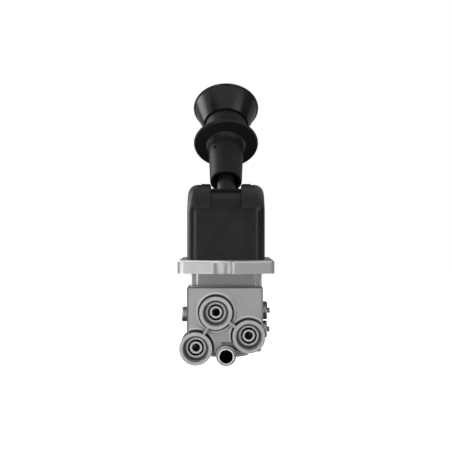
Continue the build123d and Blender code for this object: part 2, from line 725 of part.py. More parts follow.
def cap_seal():
    """Rubber ring round the end cap."""
    middle = CAP_TOP - CAP_SEAL_T
    return pipe(BORE_R - PRESS_GAP, BORE_R - CAP_SEAL_SINK + PRESS_GAP, middle - CAP_SEAL_T / 2,
                middle + CAP_SEAL_T / 2)


def circlip():
    """Retaining ring in a groove below the end cap."""
    ring = pipe(BORE_R + CIRCLIP_SINK, BORE_R - CIRCLIP_RING, CAP_BOTTOM - CIRCLIP_T, CAP_BOTTOM)
    half = CIRCLIP_MOUTH / 2
    return ring - block(-half, half, 0, BORE_R * 2, CAP_BOTTOM - CIRCLIP_T - OVER, CAP_BOTTOM + OVER)


def neck_outline():
    """The neck seen from above: its front steps forward from left to right."""
    middle = NECK_FRONT + NECK_STEP
    flat = middle + NECK_STEP
    outline = Polygon((NECK_LEFT, BODY_BACK), (NECK_LEFT, flat), (NECK_STEP_LEFT, flat),
                      (NECK_STEP_LEFT, middle), (NECK_STEP_RIGHT, middle),
                      (NECK_STEP_RIGHT, NECK_FRONT), (NECK_RIGHT, NECK_FRONT),
                      (NECK_RIGHT, BODY_BACK), align=None)
    steps = [v for v in outline.vertices() if NECK_LEFT + OVER < v.X < NECK_RIGHT - OVER]
    outline = fillet(steps, NECK_STEP_R)
    ends = [v for v in outline.vertices() if v.X < NECK_LEFT + CLEAR or v.X > NECK_RIGHT - CLEAR]
    return fillet(ends, BODY_EDGE_R)


def neck():
    """Upper part of the casting under the plate, with a rounded foot on the block."""
    column = extrude(neck_outline(), -GASKET_T - BODY_TOP)
    ground = block(2 * BODY_LEFT, 2 * BODY_RIGHT, 2 * BODY_FRONT, 2 * BODY_BACK, -OVER, 0)
    whole = ground + column
    level = [e for e in whole.edges() if abs(e.center().Z) < CLEAR and abs(e.center().X) < NECK_RIGHT + OVER]
    whole = fillet([e for e in level if abs(e.center().Y) < BODY_BACK + OVER], NECK_FOOT_R)
    room = block(BODY_LEFT, BODY_RIGHT, BODY_FRONT, BODY_BACK - 2 * BODY_EDGE_R, 0, NECK_FOOT_R)
    return column + (whole & room)


def main_casting():
    """The block, its neck and the round bosses, before anything is bored."""
    casting = block(BODY_LEFT, BODY_RIGHT, BODY_FRONT, BODY_BACK, BODY_BOTTOM, BODY_TOP)
    casting = fillet(casting.edges().filter_by(Axis.Z), BODY_EDGE_R)
    casting = fillet(casting.faces().sort_by(Axis.Y)[0].edges().group_by(Axis.Z)[0], BODY_LOWER_R)
    casting += Pos(0, 0, BODY_TOP) * neck()
    casting -= lower_corner()
    casting += rod(BORE_R + VALVE_BOSS_WALL, VALVE_BOSS_END, BODY_BOTTOM + OVER)
    for x, z in PORTS.values():
        casting += into_body(x, z, rod(BOSS_R, 0, TUBE_STOP + BOSS_REACH))
        casting += boss_foot(x, z)
    back = -BORE_R - VALVE_BOSS_WALL / 2 - EXHAUST_BOSS_FRONT
    casting += into_body(EXHAUST_X, EXHAUST_Z, rod(EXHAUST_BOSS_R, 0, back), EXHAUST_BOSS_FRONT)
    for name in ("left", "right"):
        casting += rib(PORTS["top"], PORTS[name])
    return casting


def lower_corner():
    """The block's lower right corner, cut off slanting behind the port boss."""
    right = BODY_RIGHT + OVER
    low = BODY_BOTTOM - OVER
    outline = Polyline((right, 0, BODY_CUT_Z), (BODY_RIGHT, 0, BODY_CUT_Z), (BODY_CUT_X, 0, BODY_BOTTOM),
                       (BODY_CUT_X, 0, low), (right, 0, low), close=True)
    reach = BODY_BACK - BODY_FRONT + 2 * OVER
    return Pos(0, BODY_FRONT - OVER, 0) * extrude(make_face(outline), reach, dir=(0, 1, 0))


def boss_foot(x, z):
    """Rounded foot in which a port boss runs out into the block's front."""
    foot = BODY_FRONT - PORT_FRONT
    bend = BOSS_FOOT_R * (1 - math.sqrt(0.5))
    arc = ThreePointArc((BOSS_R, 0, foot - BOSS_FOOT_R), (BOSS_R + bend, 0, foot - bend),
                        (BOSS_R + BOSS_FOOT_R, 0, foot))
    inside = BOSS_R - OVER
    rest = Polyline(arc @ 1, (BOSS_R + BOSS_FOOT_R, 0, foot + OVER), (inside, 0, foot + OVER),
                    (inside, 0, foot - BOSS_FOOT_R), arc @ 0)
    ring = revolve(make_face(Curve() + [arc, rest]), Axis.Z)
    room = block(BODY_LEFT + BODY_EDGE_R, BODY_RIGHT - BODY_EDGE_R, PORT_FRONT, 0, BODY_BOTTOM + BODY_EDGE_R,
                 BODY_TOP)
    return into_body(x, z, ring) & room


def rib(start, end):
    """Thin web between two port bosses, just behind their front faces."""
    run = Vector(end[0] - start[0], 0, end[1] - start[1])
    depth = BODY_FRONT - PORT_FRONT - RIB_SINK + OVER
    web = Box(run.length - BOSS_R, RIB_T, depth, align=(Align.CENTER, Align.CENTER, Align.MIN))
    middle = ((start[0] + end[0]) / 2, PORT_FRONT + RIB_SINK, (start[1] + end[1]) / 2)
    line = Plane(origin=middle, x_dir=run, z_dir=(0, 1, 0))
    return line.location * web


def pocket():
    """Small cored pocket over the exhaust boss."""
    low = POCKET_TOP - POCKET_H
    outline = Polyline((POCKET_LEFT, 0, POCKET_TOP), (POCKET_RIGHT, 0, POCKET_TOP), (POCKET_RIGHT, 0, low),
                       (POCKET_SLANT, 0, low), close=True)
    return Pos(0, BODY_FRONT - OVER, 0) * extrude(make_face(outline), POCKET_DEPTH + OVER, dir=(0, 1, 0))


def port_holes():
    """The stepped socket that is bored into every port boss."""
    socket = rod(MOUTH_R, -OVER, MOUTH_DEPTH) + rod(SOCKET_R, 0, SOCKET_DEPTH)
    socket += rod(TUBE_R + TUBE_GAP, 0, TUBE_STOP)
    holes = [into_body(x, z, socket) for x, z in PORTS.values()]
    for name, (x, z) in PORTS.items():
        holes.append(drilled((x, PORT_FRONT + TUBE_STOP - OVER, z), PASSAGE_ENDS[name], PASSAGE_R))
    return holes


def valve_body():
    """Aluminium casting that holds the valve, the ports and the plugs."""
    casting = main_casting() - pocket()
    casting -= rod(BORE_R, VALVE_BOSS_END - OVER, BORE_TOP)
    casting -= rod(TAPPET_R + CLEAR, BORE_TOP - OVER, OVER)
    casting -= rod(BORE_R + CIRCLIP_SINK + PRESS_GAP, CAP_BOTTOM - CIRCLIP_T, CAP_BOTTOM)
    for hole in port_holes():
        casting -= hole
    shank = rod(EXHAUST_SHANK_R + PRESS_GAP, -OVER, EXHAUST_SEAT - EXHAUST_BOSS_FRONT)
    casting -= into_body(EXHAUST_X, EXHAUST_Z, shank, EXHAUST_BOSS_FRONT)
    well = rod(EXHAUST_BORE_R, 0, EXHAUST_WELL_END - EXHAUST_SEAT)
    casting -= into_body(EXHAUST_X, EXHAUST_Z, well, EXHAUST_SEAT)
    casting -= drilled((EXHAUST_X, EXHAUST_WELL_END - OVER, EXHAUST_Z), (0, -BORE_R + OVER, EXHAUST_Z),
                       EXHAUST_PASSAGE_R)
    for side, (z, _, _) in plug_sides():
        wall = BODY_LEFT if side < 0 else BODY_RIGHT
        hole = across(rod(PLUG_THREAD_R + PRESS_GAP, -PLUG_THREAD_L - OVER, PLUG_THREAD_L + OVER))
        casting -= Pos(wall, PLUG_Y, z) * hole
    for x, y in body_screw_places():
        depth = BODY_SCREW_L - PLATE_T + OVER
        casting -= Pos(x, y, 0) * rod(M4_R + PRESS_GAP, -depth, OVER)
    return casting


def plug_sides():
    """Each side plug with the side that it is on."""
    return [(-1, LEFT_PLUG), (1, UPPER_PLUG), (1, LOWER_PLUG)]


def side_plug(side, sizes, nib):
    """Screwed plug of a cross drilling, with or without a nib on its head."""
    z, radius, proud = sizes
    head = rod(radius, 0, proud)
    head = chamfer(head.edges().group_by(Axis.Z)[-1], PLUG_CHAMFER)
    plug = head + rod(PLUG_THREAD_R, -PLUG_THREAD_L, 0)
    if nib:
        plug += rod(PLUG_NIB_R, 0, proud + PLUG_NIB_L)
    else:
        plug -= Pos(0, 0, proud - PLUG_SOCKET_DEPTH) * extrude(RegularPolygon(PLUG_NIB_R, 6), proud)
    wall = BODY_LEFT if side < 0 else BODY_RIGHT
    turn = -90 if side < 0 else 90
    return Pos(wall, PLUG_Y, z) * Rot(0, turn, 0) * plug


def gasket():
    """Flat gasket between the plate and the valve body."""
    front = NECK_FRONT + 2 * NECK_STEP + GASKET_INSET
    sheet = block(NECK_LEFT + GASKET_INSET, NECK_RIGHT - GASKET_INSET, front, BODY_BACK - GASKET_INSET,
                  -GASKET_T, 0)
    sheet -= rod(TAPPET_R + CLEAR, -GASKET_T - OVER, OVER)
    for x, y in body_screw_places():
        sheet -= Pos(x, y, 0) * rod(M4_R + HOLE_PLAY, -GASKET_T - OVER, OVER)
    return sheet


def exhaust_stub():
    """Short pipe with a thinner shank, pressed into the exhaust boss up to its shoulder."""
    shoulder = EXHAUST_BOSS_FRONT - EXHAUST_FRONT
    length = EXHAUST_SEAT - EXHAUST_FRONT
    stub = rod(EXHAUST_R, 0, shoulder) + rod(EXHAUST_SHANK_R, 0, length)
    stub -= rod(EXHAUST_BORE_R, -OVER, length + OVER)
    stub = chamfer(stub.edges().group_by(Axis.Z)[0], EXHAUST_CHAMFER)
    return into_body(EXHAUST_X, EXHAUST_Z, stub, EXHAUST_FRONT)


def collet():
    """Gripping collet, split into fingers, that is pushed in to free the tube."""
    inner = TUBE_R + TUBE_GAP
    outer = inner + COLLET_WALL
    ring = pipe(outer, inner, COLLET_FACE, COLLET_FACE + COLLET_L)
    half = COLLET_SLIT / 2
    reach = outer + OVER
    slit = block(-reach, reach, -half, half, COLLET_FACE + COLLET_RING_L, COLLET_FACE + COLLET_L + OVER)
    for turn in (0, 60, 120):
        ring -= Rot(0, 0, turn) * slit
    return ring


def cartridge():
    """Ring in the socket that guides the collet."""
    bore = TUBE_R + TUBE_GAP + COLLET_WALL + RUN_FIT * 2
    end = COLLET_FACE + COLLET_L + COLLET_TRAVEL + CLEAR
    return pipe(SOCKET_R - PRESS_GAP, bore, CARTRIDGE_FACE, end)


def tube_seal():
    """Rubber ring behind the collet that seals on the tube."""
    start = COLLET_FACE + COLLET_L + COLLET_TRAVEL + CLEAR
    return pipe(SOCKET_R - PRESS_GAP, TUBE_R + TUBE_GAP, start, SOCKET_DEPTH)


def support_sleeve():
    """Sleeve that stands inside the tube, flanged at the socket's floor."""
    outer = TUBE_BORE_R - TUBE_GAP
    sleeve = rod(outer, COLLET_FACE, TUBE_STOP) + rod(TUBE_R, TUBE_STOP - SLEEVE_FLANGE_T, TUBE_STOP)
    sleeve -= rod(SLEEVE_BORE_R, COLLET_FACE - OVER, TUBE_STOP + OVER)
    return chamfer(sleeve.edges().group_by(Axis.Z)[0], SLEEVE_CHAMFER)


def save(name, shape):
    """Writes one node as its own STEP file."""
    export_step(shape, "parts/" + name + ".step")


save("mounting_plate", mounting_plate())
save("hood", hood())
save("valve_body", valve_body())
save("body_gasket", gasket())
save("slot_cover", slot_cover())
save("inner_slot_cover", inner_slot_cover())
save("lever_shaft", lever_shaft())
save("knob", knob())
save("locking_collar", locking_collar())
save("collar_pin", collar_pin())
save("collar_spring", collar_spring())
save("lock_rod", lock_rod())
save("lock_bar", lock_bar())
save("gate_bracket", gate_bracket())
save("pivot_pin", pivot_pin())
save("pivot_clips", pivot_clips())
save("bracket_screws", screws(corners(BRACKET_SCREW_X, BRACKET_SCREW_Y), BRACKET_SCREW_L, PLATE_T + GATE_T))
save("body_screws", screws(body_screw_places(), BODY_SCREW_L, PLATE_T))
save("hood_screws", screws(corners(HOOD_SCREW_X, HOOD_SCREW_Y), HOOD_SCREW_L, M4_HEAD_H, pointing_up=True))
save("tappet", tappet())
save("spring_seat", spring_seat())
save("tappet_bush", tappet_bush())
save("graduating_spring", graduating_spring())
save("graduating_piston", graduating_piston())
save("piston_ring", piston_ring())
save("valve_seat", valve_seat())
save("inlet_valve", inlet_valve())
save("valve_spring", valve_spring())
save("bottom_cap", bottom_cap())
save("cap_seal", cap_seal())
save("circlip", circlip())
save("exhaust_stub", exhaust_stub())
save("left_plug", side_plug(-1, LEFT_PLUG, False))
save("upper_right_plug", side_plug(1, UPPER_PLUG, True))
save("lower_right_plug", side_plug(1, LOWER_PLUG, True))
for port, (port_x, port_z) in PORTS.items():
    save(port + "_port_collet", into_body(port_x, port_z, collet()))
    save(port + "_port_cartridge", into_body(port_x, port_z, cartridge()))
    save(port + "_port_seal", into_body(port_x, port_z, tube_seal()))
    save(port + "_port_sleeve", into_body(port_x, port_z, support_sleeve()))
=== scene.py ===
import bpy
import bmesh
import math
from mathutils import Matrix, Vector


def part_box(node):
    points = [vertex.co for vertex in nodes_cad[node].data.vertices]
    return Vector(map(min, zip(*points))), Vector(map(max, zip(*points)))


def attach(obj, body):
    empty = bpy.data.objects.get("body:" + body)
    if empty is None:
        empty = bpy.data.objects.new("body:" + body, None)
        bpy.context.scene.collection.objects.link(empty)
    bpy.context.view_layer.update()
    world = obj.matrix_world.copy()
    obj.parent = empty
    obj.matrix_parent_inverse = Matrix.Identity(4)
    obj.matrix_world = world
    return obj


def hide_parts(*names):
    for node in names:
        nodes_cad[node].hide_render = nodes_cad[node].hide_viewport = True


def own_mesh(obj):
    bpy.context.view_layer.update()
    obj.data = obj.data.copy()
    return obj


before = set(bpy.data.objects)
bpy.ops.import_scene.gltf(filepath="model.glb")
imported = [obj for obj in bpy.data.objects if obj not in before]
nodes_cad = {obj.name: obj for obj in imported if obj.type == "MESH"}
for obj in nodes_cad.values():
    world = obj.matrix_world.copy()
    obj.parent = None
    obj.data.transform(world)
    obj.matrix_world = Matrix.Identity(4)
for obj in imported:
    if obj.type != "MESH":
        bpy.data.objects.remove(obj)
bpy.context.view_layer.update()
scene = bpy.context.scene
scene.view_settings.view_transform = "Standard"

# Places that repeat the CAD model's, in metres
PORTS = ("top", "left", "right")
PORT_PLACES = ((-0.0076, -0.0290), (-0.0225, -0.0555), (0.0170, -0.0465))
PORT_FRONT = -0.045
BODY_FRONT = -0.036
BODY_LEFT = -0.0293
EXHAUST = (0.0001, -0.0607)
EXHAUST_BORE = 0.00495
LEVER_PIVOT = Vector((0.0, 0.0, 0.033))
LEVER_LEAN = math.radians(42.0)

# Bands on the castings: where a mask starts, is full, fades and ends
NECK_START, NECK_FULL = -0.0112, -0.0106
SHELF_Z = (-0.0113, -0.0111, -0.0100, -0.0098)
SHELF_DARK_Y, SHELF_LIGHT_Y = -0.026, -0.014
FRONT_FACE_Y = (BODY_FRONT - 0.0004, BODY_FRONT - 0.0002, BODY_FRONT + 0.0002, BODY_FRONT + 0.0004)
BOSS_FOOT_Y = (-0.0392, -0.0384, -0.0363, -0.03605)
BOSS_RIM_IN, BOSS_RIM_OUT = 0.0141, 0.0150
CUT_START, CUT_FULL = PORT_FRONT + 0.00012, PORT_FRONT + 0.00004
PLATE_RIGHT_X, PLATE_LEFT_X = 0.004, -0.006
PLATE_END_START, PLATE_END_FULL = -0.031, -0.0335


# Materials

class Shader:
    """A principled material whose sockets are fed by small groups of texture nodes."""

    def __init__(self, name, metallic=0.0, specular=0.5):
        self.mat = bpy.data.materials.new(name)
        self.mat.use_nodes = True
        self.tree = self.mat.node_tree
        self.bsdf = self.tree.nodes["Principled BSDF"]
        self.bsdf.inputs["Metallic"].default_value = metallic
        self.bsdf.inputs["Specular IOR Level"].default_value = specular
        self.coords = self.node("ShaderNodeTexCoord").outputs["Object"]

    def node(self, kind):
        return self.tree.nodes.new(kind)

    def join(self, source, target):
        self.tree.links.new(source, target)
        return target

    def noise(self, scale, detail=3.0, rough=0.55, stretch=None):
        n = self.node("ShaderNodeTexNoise")
        n.inputs["Scale"].default_value = scale
        n.inputs["Detail"].default_value = detail
        n.inputs["Roughness"].default_value = rough
        source = self.coords
        if stretch:
            m = self.node("ShaderNodeMapping")
            m.inputs["Scale"].default_value = stretch
            self.join(self.coords, m.inputs["Vector"])
            source = m.outputs["Vector"]
        self.join(source, n.inputs["Vector"])
        return n.outputs["Fac"]

    def cells(self, scale):
        n = self.node("ShaderNodeTexVoronoi")
        n.inputs["Scale"].default_value = scale
        self.join(self.coords, n.inputs["Vector"])
        return n.outputs["Distance"]

    def spread(self, source, low, high, to_low=0.0, to_high=1.0):
        m = self.node("ShaderNodeMapRange")
        m.inputs["From Min"].default_value = low
        m.inputs["From Max"].default_value = high
        m.inputs["To Min"].default_value = to_low
        m.inputs["To Max"].default_value = to_high
        self.join(source, m.inputs["Value"])
        return m.outputs["Result"]

    def ramp(self, source, stops):
        r = self.node("ShaderNodeValToRGB")
        while len(r.color_ramp.elements) < len(stops):
            r.color_ramp.elements.new(0.5)
        for e, (at, rgb) in zip(r.color_ramp.elements, stops):
            e.position = at
            e.color = (*rgb, 1.0)
        self.join(source, r.inputs["Fac"])
        return r.outputs["Color"]

    def mix(self, share, a, b):
        m = self.node("ShaderNodeMix")
        m.data_type = "RGBA"
        self.join(share, m.inputs["Factor"])
        for value, socket in ((a, m.inputs[6]), (b, m.inputs[7])):
            if isinstance(value, tuple):
                socket.default_value = (*value, 1.0)
            else:
                self.join(value, socket)
        return m.outputs[2]

    def math(self, kind, a, b):
        m = self.node("ShaderNodeMath")
        m.operation = kind
        for value, socket in ((a, m.inputs[0]), (b, m.inputs[1])):
            if isinstance(value, (int, float)):
                socket.default_value = value
            else:
                self.join(value, socket)
        return m.outputs[0]

    def edges(self, radius, low=0.86, high=0.995):
        """Near 1 on the shape's edges and 0 on its faces."""
        b = self.node("ShaderNodeBevel")
        b.samples = 4
        b.inputs["Radius"].default_value = radius
        g = self.node("ShaderNodeNewGeometry")
        d = self.node("ShaderNodeVectorMath")
        d.operation = "DOT_PRODUCT"
        self.join(b.outputs["Normal"], d.inputs[0])
        self.join(g.outputs["Normal"], d.inputs[1])
        return self.spread(d.outputs["Value"], low, high, 1.0, 0.0)

    def axis(self, which, source=None):
        s = self.node("ShaderNodeSeparateXYZ")
        self.join(source or self.coords, s.inputs["Vector"])
        return s.outputs[which]

    def normal(self, which):
        return self.axis(which, self.node("ShaderNodeTexCoord").outputs["Normal"])

    def between(self, source, start, full, fade, end):
        """1 from full to fade, 0 outside start and end."""
        return self.math("MULTIPLY", self.spread(source, start, full), self.spread(source, end, fade))

    def inside(self, x, z, radius):
        """1 within radius of a line along Y."""
        dx = self.math("SUBTRACT", self.axis("X"), x)
        dz = self.math("SUBTRACT", self.axis("Z"), z)
        far = self.math("ADD", self.math("MULTIPLY", dx, dx), self.math("MULTIPLY", dz, dz))
        return self.math("LESS_THAN", far, radius * radius)

    def recess(self, reach, low=0.35, high=0.9):
        """1 in corners and holes narrower than reach, 0 on open faces."""
        a = self.node("ShaderNodeAmbientOcclusion")
        a.samples = 6
        a.inputs["Distance"].default_value = reach
        return self.spread(a.outputs["AO"], low, high, 1.0, 0.0)

    def bump(self, *layers):
        """Layers of (height, strength, distance) laid over each other."""
        below = None
        for height, strength, distance in layers:
            b = self.node("ShaderNodeBump")
            b.inputs["Strength"].default_value = strength
            b.inputs["Distance"].default_value = distance
            self.join(height, b.inputs["Height"])
            if below is not None:
                self.join(below, b.inputs["Normal"])
            below = b.outputs["Normal"]
        self.join(below, self.bsdf.inputs["Normal"])

    def color(self, source):
        self.join(source, self.bsdf.inputs["Base Color"])

    def rough(self, source):
        self.join(source, self.bsdf.inputs["Roughness"])


def grey(v, tint=0.0):
    return (v * (1 - tint), v, v * (1 + tint))


def cast_metal(name, level, features=None):
    """Blasted die casting: mottled, finely pitted, with painted shade in its corners, worn lighter along its
    edges.
    """
    s = Shader(name, metallic=1.0)
    patches = s.noise(55.0, 4.0)
    base = s.ramp(patches, [(0.3, grey(level * 0.94, 0.01)), (0.7, grey(level * 1.04, 0.01))])
    worn = s.math("MULTIPLY", s.edges(0.0005), s.spread(s.noise(420.0, 3.0), 0.35, 0.6, 0.0, 0.7))
    base = s.mix(worn, base, grey(min(0.9, level * 1.25)))
    rough = s.spread(s.noise(140.0, 3.0), 0.3, 0.7, 0.45, 0.53)
    # Painted shade: the base colour darkens in corners and recesses, where shade falls.
    painted_shade = s.math("MULTIPLY", s.recess(0.0025), s.spread(s.noise(260.0, 3.0), 0.3, 0.7, 0.30, 0.55))
    if features:
        base, rough, painted_shade = features(s, level, base, rough, painted_shade)
    # The painted shade is mixed into the base colour here.
    base = s.mix(painted_shade, base, grey(level * 0.12))
    s.color(base)
    s.rough(s.math("ADD", rough, s.math("MULTIPLY", painted_shade, 0.15)))
    s.bump((s.noise(2600.0, 3.0), 0.30, 0.00012), (s.cells(1500.0), 0.12, 0.0001),
           (s.noise(180.0, 2.0), 0.10, 0.0004))
    return s.mat


def plate_features(s, level, base, rough, painted_shade):
    """The plate's upper edge has a painted highlight on the left, and so has its left corner, with painted
    shade where that corner turns away.
    """
    # Painted highlight along the upper edge's fillet, full on the left and faint on the right.
    painted_edge_highlight = s.between(s.normal("Z"), 0.2, 0.5, 0.9, 0.985)
    painted_edge_highlight = s.math("MULTIPLY", painted_edge_highlight, s.spread(s.axis("X"), PLATE_RIGHT_X, PLATE_LEFT_X, 0.05, 1.0))
    # Painted highlight on the left corner, where it faces left and forward.
    end = s.spread(s.axis("X"), PLATE_END_START, PLATE_END_FULL)
    left = s.math("MULTIPLY", end, s.spread(s.normal("Y"), 0.0, -0.1))
    corner = s.math("MULTIPLY", left, s.between(s.normal("X"), -0.60, -0.45, -0.25, -0.1))
    painted_edge_highlight = s.math("MAXIMUM", painted_edge_highlight, s.math("MULTIPLY", corner, 0.6))
    # Painted shade where the left corner turns away, just before its flat end.
    turning_away = s.math("MULTIPLY", left, s.between(s.normal("X"), -0.997, -0.97, -0.8, -0.65))
    painted_shade = s.math("MAXIMUM", painted_shade, s.math("MULTIPLY", turning_away, 0.7))
    # The painted highlight is broken up by noise and lightens the base colour.
    broken = s.math("MULTIPLY", painted_edge_highlight, s.spread(s.noise(300.0, 3.0), 0.25, 0.6, 0.8, 1.0))
    return s.mix(broken, base, grey(level * 2.15)), rough, painted_shade


def body_features(s, level, base, rough, painted_shade):
    """Painted highlights on the neck's edges, the top shelf and the rings round the bosses, painted shade in
    the bosses' feet, along the left front corner and in the outlet, and turned port faces.
    """
    # Painted highlight on the neck's rounded vertical edges.
    across = s.math("ABSOLUTE", s.normal("X"), 0.0)
    neck = s.spread(s.axis("Z"), NECK_START, NECK_FULL)
    neck = s.math("MULTIPLY", neck, s.between(across, 0.2, 0.45, 0.9, 0.99))
    base = s.mix(neck, base, grey(level * 2.4))
    # Painted highlight on the upward-facing top shelf, strongest towards the back, with the painted shade
    # taken off there.
    shelf = s.math("MULTIPLY", s.between(s.axis("Z"), *SHELF_Z), s.spread(s.normal("Z"), 0.1, 0.4))
    shelf = s.math("MULTIPLY", shelf, s.spread(s.axis("Y"), SHELF_DARK_Y, SHELF_LIGHT_Y))
    base = s.mix(shelf, base, grey(level * 2.3))
    painted_shade = s.math("MULTIPLY", painted_shade, s.math("SUBTRACT", 1.0, shelf))
    facing = s.normal("Y")
    # Painted highlight: a lighter ring round each boss on the flat front face.
    flat = s.math("MULTIPLY", s.between(s.axis("Y"), *FRONT_FACE_Y), s.spread(facing, -0.96, -0.99))
    for x, z in PORT_PLACES:
        rim = s.math("SUBTRACT", s.inside(x, z, BOSS_RIM_OUT), s.inside(x, z, BOSS_RIM_IN))
        base = s.mix(s.math("MULTIPLY", rim, flat), base, grey(level * 1.5))
    # Painted shade on the fillets at the bosses' feet, which turn away from the front.
    foot = s.between(s.axis("Y"), *BOSS_FOOT_Y)
    painted_foot_shade = s.math("MULTIPLY", foot, s.spread(facing, -0.988, -0.965))
    # Painted shade along the body's left front corner.
    corner = s.math("MULTIPLY", s.spread(s.axis("X"), BODY_LEFT + 0.0018, BODY_LEFT + 0.0008),
                    s.between(s.normal("X"), -0.99, -0.9, -0.3, -0.1))
    corner = s.math("MULTIPLY", corner, s.spread(s.axis("Y"), BODY_FRONT - 0.0001, BODY_FRONT))
    painted_shade = s.math("MAXIMUM", painted_shade, painted_foot_shade)
    painted_shade = s.math("MAXIMUM", painted_shade, s.math("MULTIPLY", corner, 0.8))
    # Painted shade inside the outlet bore.
    painted_shade = s.math("MAXIMUM", painted_shade, s.inside(*EXHAUST, EXHAUST_BORE))
    cut = s.spread(s.axis("Y"), CUT_START, CUT_FULL)
    base = s.mix(cut, base, grey(level * 1.25))
    return base, s.math("SUBTRACT", rough, s.math("MULTIPLY", cut, 0.10)), painted_shade


def moulded(name, level, rough_low, rough_high, grain, specular=0.5, rub=3.0):
    """Black moulded plastic with a fine grain, dust-grey patches and edges worn lighter."""
    s = Shader(name, specular=specular)
    base = s.ramp(s.noise(38.0, 4.0), [(0.3, grey(level * 0.8)), (0.7, grey(level * 1.25))])
    worn = s.math("MULTIPLY", s.edges(0.0005), s.spread(s.noise(600.0, 3.0), 0.42, 0.68, 0.0, 0.7))
    s.color(s.mix(worn, base, grey(level * rub)))
    rough = s.spread(s.noise(90.0, 3.0), 0.3, 0.7, rough_low, rough_high)
    s.rough(s.math("MAXIMUM", rough, s.math("MULTIPLY", s.recess(0.006), 0.8)))
    s.bump((s.cells(grain), 0.16, 0.00012), (s.noise(grain * 2.2, 2.0), 0.10, 0.00008))
    return s.mat


def turned(name, level, rough_level, stretch, tint=0.0, shade=0.25, marks=0.18, hole=None):
    """Turned or drawn metal with fine tool marks, with painted shade where it lies deep."""
    s = Shader(name, metallic=1.0)
    base = s.ramp(s.noise(120.0, 3.0), [(0.3, grey(level * 0.9, tint)), (0.7, grey(level * 1.08, tint))])
    worn = s.math("MULTIPLY", s.edges(0.0003), s.spread(s.noise(900.0, 2.0), 0.4, 0.7, 0.0, 0.8))
    base = s.mix(worn, base, grey(min(0.95, level * 1.35), tint))
    # Painted shade: darker in recesses and, where a hole is given, inside it.
    deep = s.recess(0.006, 0.1, 0.85)
    if hole:
        deep = s.math("MAXIMUM", deep, s.inside(*hole))
    s.color(s.mix(deep, base, grey(level * shade, tint)))
    s.rough(s.spread(s.noise(300.0, 3.0), 0.3, 0.7, rough_level * 0.8, rough_level * 1.2))
    s.bump((s.noise(900.0, 2.0, stretch=stretch), marks, 0.00006))
    return s.mat


def plated(name):
    """Zinc plating: a patchy, slightly warm and cool grey."""
    s = Shader(name, metallic=1.0)
    base = s.ramp(s.noise(70.0, 4.0),
                  [(0.3, (0.34, 0.35, 0.37)), (0.55, (0.42, 0.42, 0.42)), (0.75, (0.47, 0.46, 0.43))])
    worn = s.math("MULTIPLY", s.edges(0.0004), s.spread(s.noise(700.0, 2.0), 0.4, 0.7, 0.0, 0.8))
    base = s.mix(worn, base, grey(0.7))
    # Painted shade: the plating darkens to near black in recesses.
    s.color(s.mix(s.recess(0.004), base, grey(0.08)))
    s.rough(s.spread(s.noise(200.0, 3.0), 0.3, 0.7, 0.30, 0.44))
    s.bump((s.noise(1600.0, 3.0), 0.14, 0.00006))
    return s.mat


def rubber(name, level):
    """Moulded rubber, dull and a little blotchy."""
    s = Shader(name, specular=0.35)
    base = s.ramp(s.noise(90.0, 3.0), [(0.3, grey(level * 0.8)), (0.7, grey(level * 1.3))])
    s.color(s.mix(s.edges(0.0003), base, grey(level * 2.0)))
    s.rough(s.spread(s.noise(240.0, 3.0), 0.3, 0.7, 0.6, 0.78))
    s.bump((s.noise(2200.0, 2.0), 0.2, 0.00008))
    return s.mat


ALONG_Y = (0.3, 4, 0.3)
ALONG_Z = (0.2, 0.2, 4)

looks = {
    "body": cast_metal("body_casting", 0.34, body_features),
    "plate": cast_metal("plate_casting", 0.43, plate_features),
    "hood": moulded("hood_plastic", 0.0085, rough_low=0.26, rough_high=0.31, grain=1400.0, specular=0.26),
    "cover": moulded("cover_plastic", 0.0080, rough_low=0.26, rough_high=0.34, grain=1800.0, specular=0.24),
    "knob": moulded("knob_plastic", 0.0085, rough_low=0.18, rough_high=0.24, grain=1600.0, specular=0.26),
    "collar": moulded("collar_plastic", 0.0065, rough_low=0.38, rough_high=0.46, grain=1600.0, specular=0.19),
    "shaft": moulded("shaft_coating", 0.0080, rough_low=0.30, rough_high=0.38, grain=2000.0, specular=0.24),
    "plated": plated("zinc_plating"),
    "spring": turned("spring_wire", 0.42, 0.32, (1, 1, 1)),
    "turned": turned("turned_aluminium", 0.66, 0.30, ALONG_Z),
    "bronze": turned("bush_bronze", 0.42, 0.38, ALONG_Z, tint=-0.35),
    # The pipe's bore is given as a hole, so it gets painted shade inside.
    "exhaust": turned("exhaust_pipe", 0.86, 0.36, ALONG_Y, shade=0.03, marks=0.05,
                      hole=(*EXHAUST, EXHAUST_BORE)),
    "collet": turned("collet_metal", 0.50, 0.34, ALONG_Y),
    "cartridge": turned("cartridge_metal", 0.22, 0.40, ALONG_Y),
    "sleeve": turned("sleeve_metal", 0.50, 0.32, ALONG_Y),
    "rubber": rubber("seal_rubber", 0.014),
    "gasket": rubber("gasket_sheet", 0.06),
}
use = {
    "body": ["valve_body"],
    "plate": ["mounting_plate"],
    "hood": ["hood"],
    "cover": ["slot_cover", "inner_slot_cover"],
    "knob": ["knob"],
    "collar": ["locking_collar"],
    "shaft": ["lever_shaft"],
    "plated": ["gate_bracket", "pivot_pin", "pivot_clips", "bracket_screws", "body_screws", "hood_screws",
               "lock_rod", "lock_bar", "collar_pin", "circlip", "tappet", "left_plug", "upper_right_plug",
               "lower_right_plug"],
    "spring": ["collar_spring", "graduating_spring", "valve_spring"],
    "turned": ["graduating_piston", "valve_seat", "bottom_cap", "spring_seat", "inlet_valve"],
    "bronze": ["tappet_bush"],
    "exhaust": ["exhaust_stub"],
    "rubber": ["piston_ring", "cap_seal"] + [p + "_port_seal" for p in PORTS],
    "gasket": ["body_gasket"],
    "collet": [p + "_port_collet" for p in PORTS],
    "cartridge": [p + "_port_cartridge" for p in PORTS],
    "sleeve": [p + "_port_sleeve" for p in PORTS],
}
